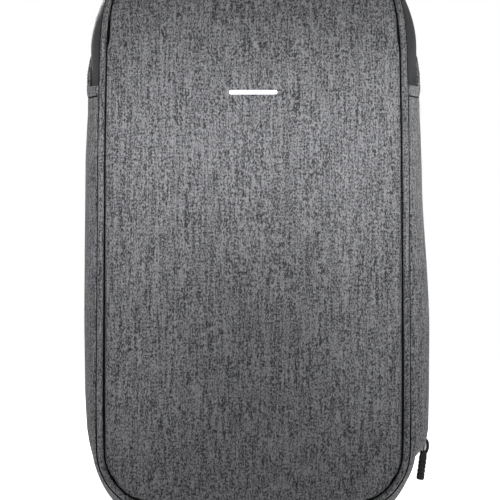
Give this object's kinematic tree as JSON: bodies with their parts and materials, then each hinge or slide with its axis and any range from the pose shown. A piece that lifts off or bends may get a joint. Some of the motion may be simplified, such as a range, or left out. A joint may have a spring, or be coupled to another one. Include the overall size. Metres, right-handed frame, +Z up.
{
  "type": "laptop backpack",
  "caption": "Soft-sided laptop backpack that stands on its base, with a zipped front flap, side pockets, padded back and adjustable shoulder straps.",
  "frame": {"origin": "on the floor, under the middle of the bag body (front panel to back panel), on its base", "axes": "+Z up; the front panel faces -Y; the back panel and shoulder straps are at +Y; X across the bag, main zip slider at +X"},
  "size_m": [0.3043, 0.1933, 0.5256],
  "materials": {
    "grey_cloth": "heathered woven polyester",
    "black_nylon": "smooth coated nylon with a soft sheen",
    "air_mesh": "padded spacer mesh",
    "lining": "smooth woven lining",
    "zip_tape": "woven tape with a nylon coil",
    "black_webbing": "ribbed webbing",
    "gunmetal": "dark plated",
    "rubber": "matt moulded",
    "buckle_plastic": "moulded acetal",
    "badge_print": "plain pale print",
    "board": "polyethylene stiffener"
  },
  "bodies": {
    "main_body": {"back_pad_left": "air_mesh", "back_pad_right": "air_mesh", "back_panel": "air_mesh", "back_pocket_zip": "zip_tape", "base_board": "board", "front_panel_lower": "grey_cloth", "front_piping_lower": "grey_cloth", "gore_left": "lining", "gore_right": "lining", "handle_patch": "grey_cloth", "laptop_divider": "lining", "lower_webbing_left": "black_webbing", "lower_webbing_right": "black_webbing", "luggage_sleeve": "black_nylon", "lumbar_pad": "air_mesh", "rear_gusset": "grey_cloth", "rear_piping": "black_webbing", "tub_gusset": "grey_cloth", "usb_port": "buckle_plastic", "webbing_anchor_left": "grey_cloth", "webbing_anchor_right": "grey_cloth", "yoke_patch": "black_nylon", "zip_tape_rear": "zip_tape"},
    "front_flap": {"front_panel": "grey_cloth", "front_gusset": "black_nylon", "front_piping": "grey_cloth", "zip_tape_front": "zip_tape", "side_pocket_left": "grey_cloth", "side_pocket_right": "grey_cloth", "pocket_hem_left": "grey_cloth", "pocket_hem_right": "grey_cloth", "organiser_pocket": "lining", "badge": "badge_print"},
    "zip_slider": {"zip_slider": "gunmetal"},
    "zip_pull": {"zip_pull": "rubber"},
    "back_slider": {"back_slider": "gunmetal"},
    "back_pull": {"back_pull": "gunmetal"},
    "carry_handle": {"carry_handle": "black_webbing", "handle_grip": "grey_cloth"},
    "shoulder_strap_left": {"strap_pad_left": "grey_cloth", "strap_tab_left": "black_webbing", "strap_tail_left": "black_webbing", "ladder_lock_left": "buckle_plastic"},
    "shoulder_strap_right": {"strap_pad_right": "grey_cloth", "strap_tab_right": "black_webbing", "strap_tail_right": "black_webbing", "ladder_lock_right": "buckle_plastic"},
    "usb_cap": {"usb_cap": "rubber"}
  },
  "joints": [
    {"name": "flap_open", "type": "hinge", "parent": "main_body", "child": "front_flap", "pos_m": [0, -0.075, 0.052], "axis": [1, 0, 0], "range_deg": [0, 75], "deforming": ["gore_left", "gore_right"]},
    {"name": "zip_slide", "type": "slide", "parent": "main_body", "child": "zip_slider", "axis": [0, 0, 1], "range_m": [0, 0.335]},
    {"name": "zip_pull_swing", "type": "hinge", "parent": "zip_slider", "child": "zip_pull", "pos_m": [0.1505, 0.009, 0.0592], "axis": [0, -1, 0], "range_deg": [0, 150]},
    {"name": "back_zip_slide", "type": "slide", "parent": "main_body", "child": "back_slider", "axis": [1, 0, 0], "range_m": [0, 0.112]},
    {"name": "back_pull_swing", "type": "hinge", "parent": "back_slider", "child": "back_pull", "pos_m": [-0.056, 0.0789, 0.2496], "axis": [1, 0, 0], "range_deg": [0, 60]},
    {"name": "handle_fold", "type": "hinge", "parent": "main_body", "child": "carry_handle", "pos_m": [0, 0.052, 0.4956], "axis": [1, 0, 0], "range_deg": [-15, 60]},
    {"name": "strap_left_swing", "type": "hinge", "parent": "main_body", "child": "shoulder_strap_left", "pos_m": [-0.048, 0.08, 0.438], "axis": [1, 0, 0], "range_deg": [0, 20], "deforming": ["lower_webbing_left"]},
    {"name": "strap_right_swing", "type": "hinge", "parent": "main_body", "child": "shoulder_strap_right", "pos_m": [0.048, 0.08, 0.438], "axis": [1, 0, 0], "range_deg": [0, 20], "deforming": ["lower_webbing_right"]},
    {"name": "usb_cap_lift", "type": "hinge", "parent": "main_body", "child": "usb_cap", "pos_m": [-0.1458, 0.033, 0.351], "axis": [0, 1, 0], "range_deg": [0, 90]}
  ]
}
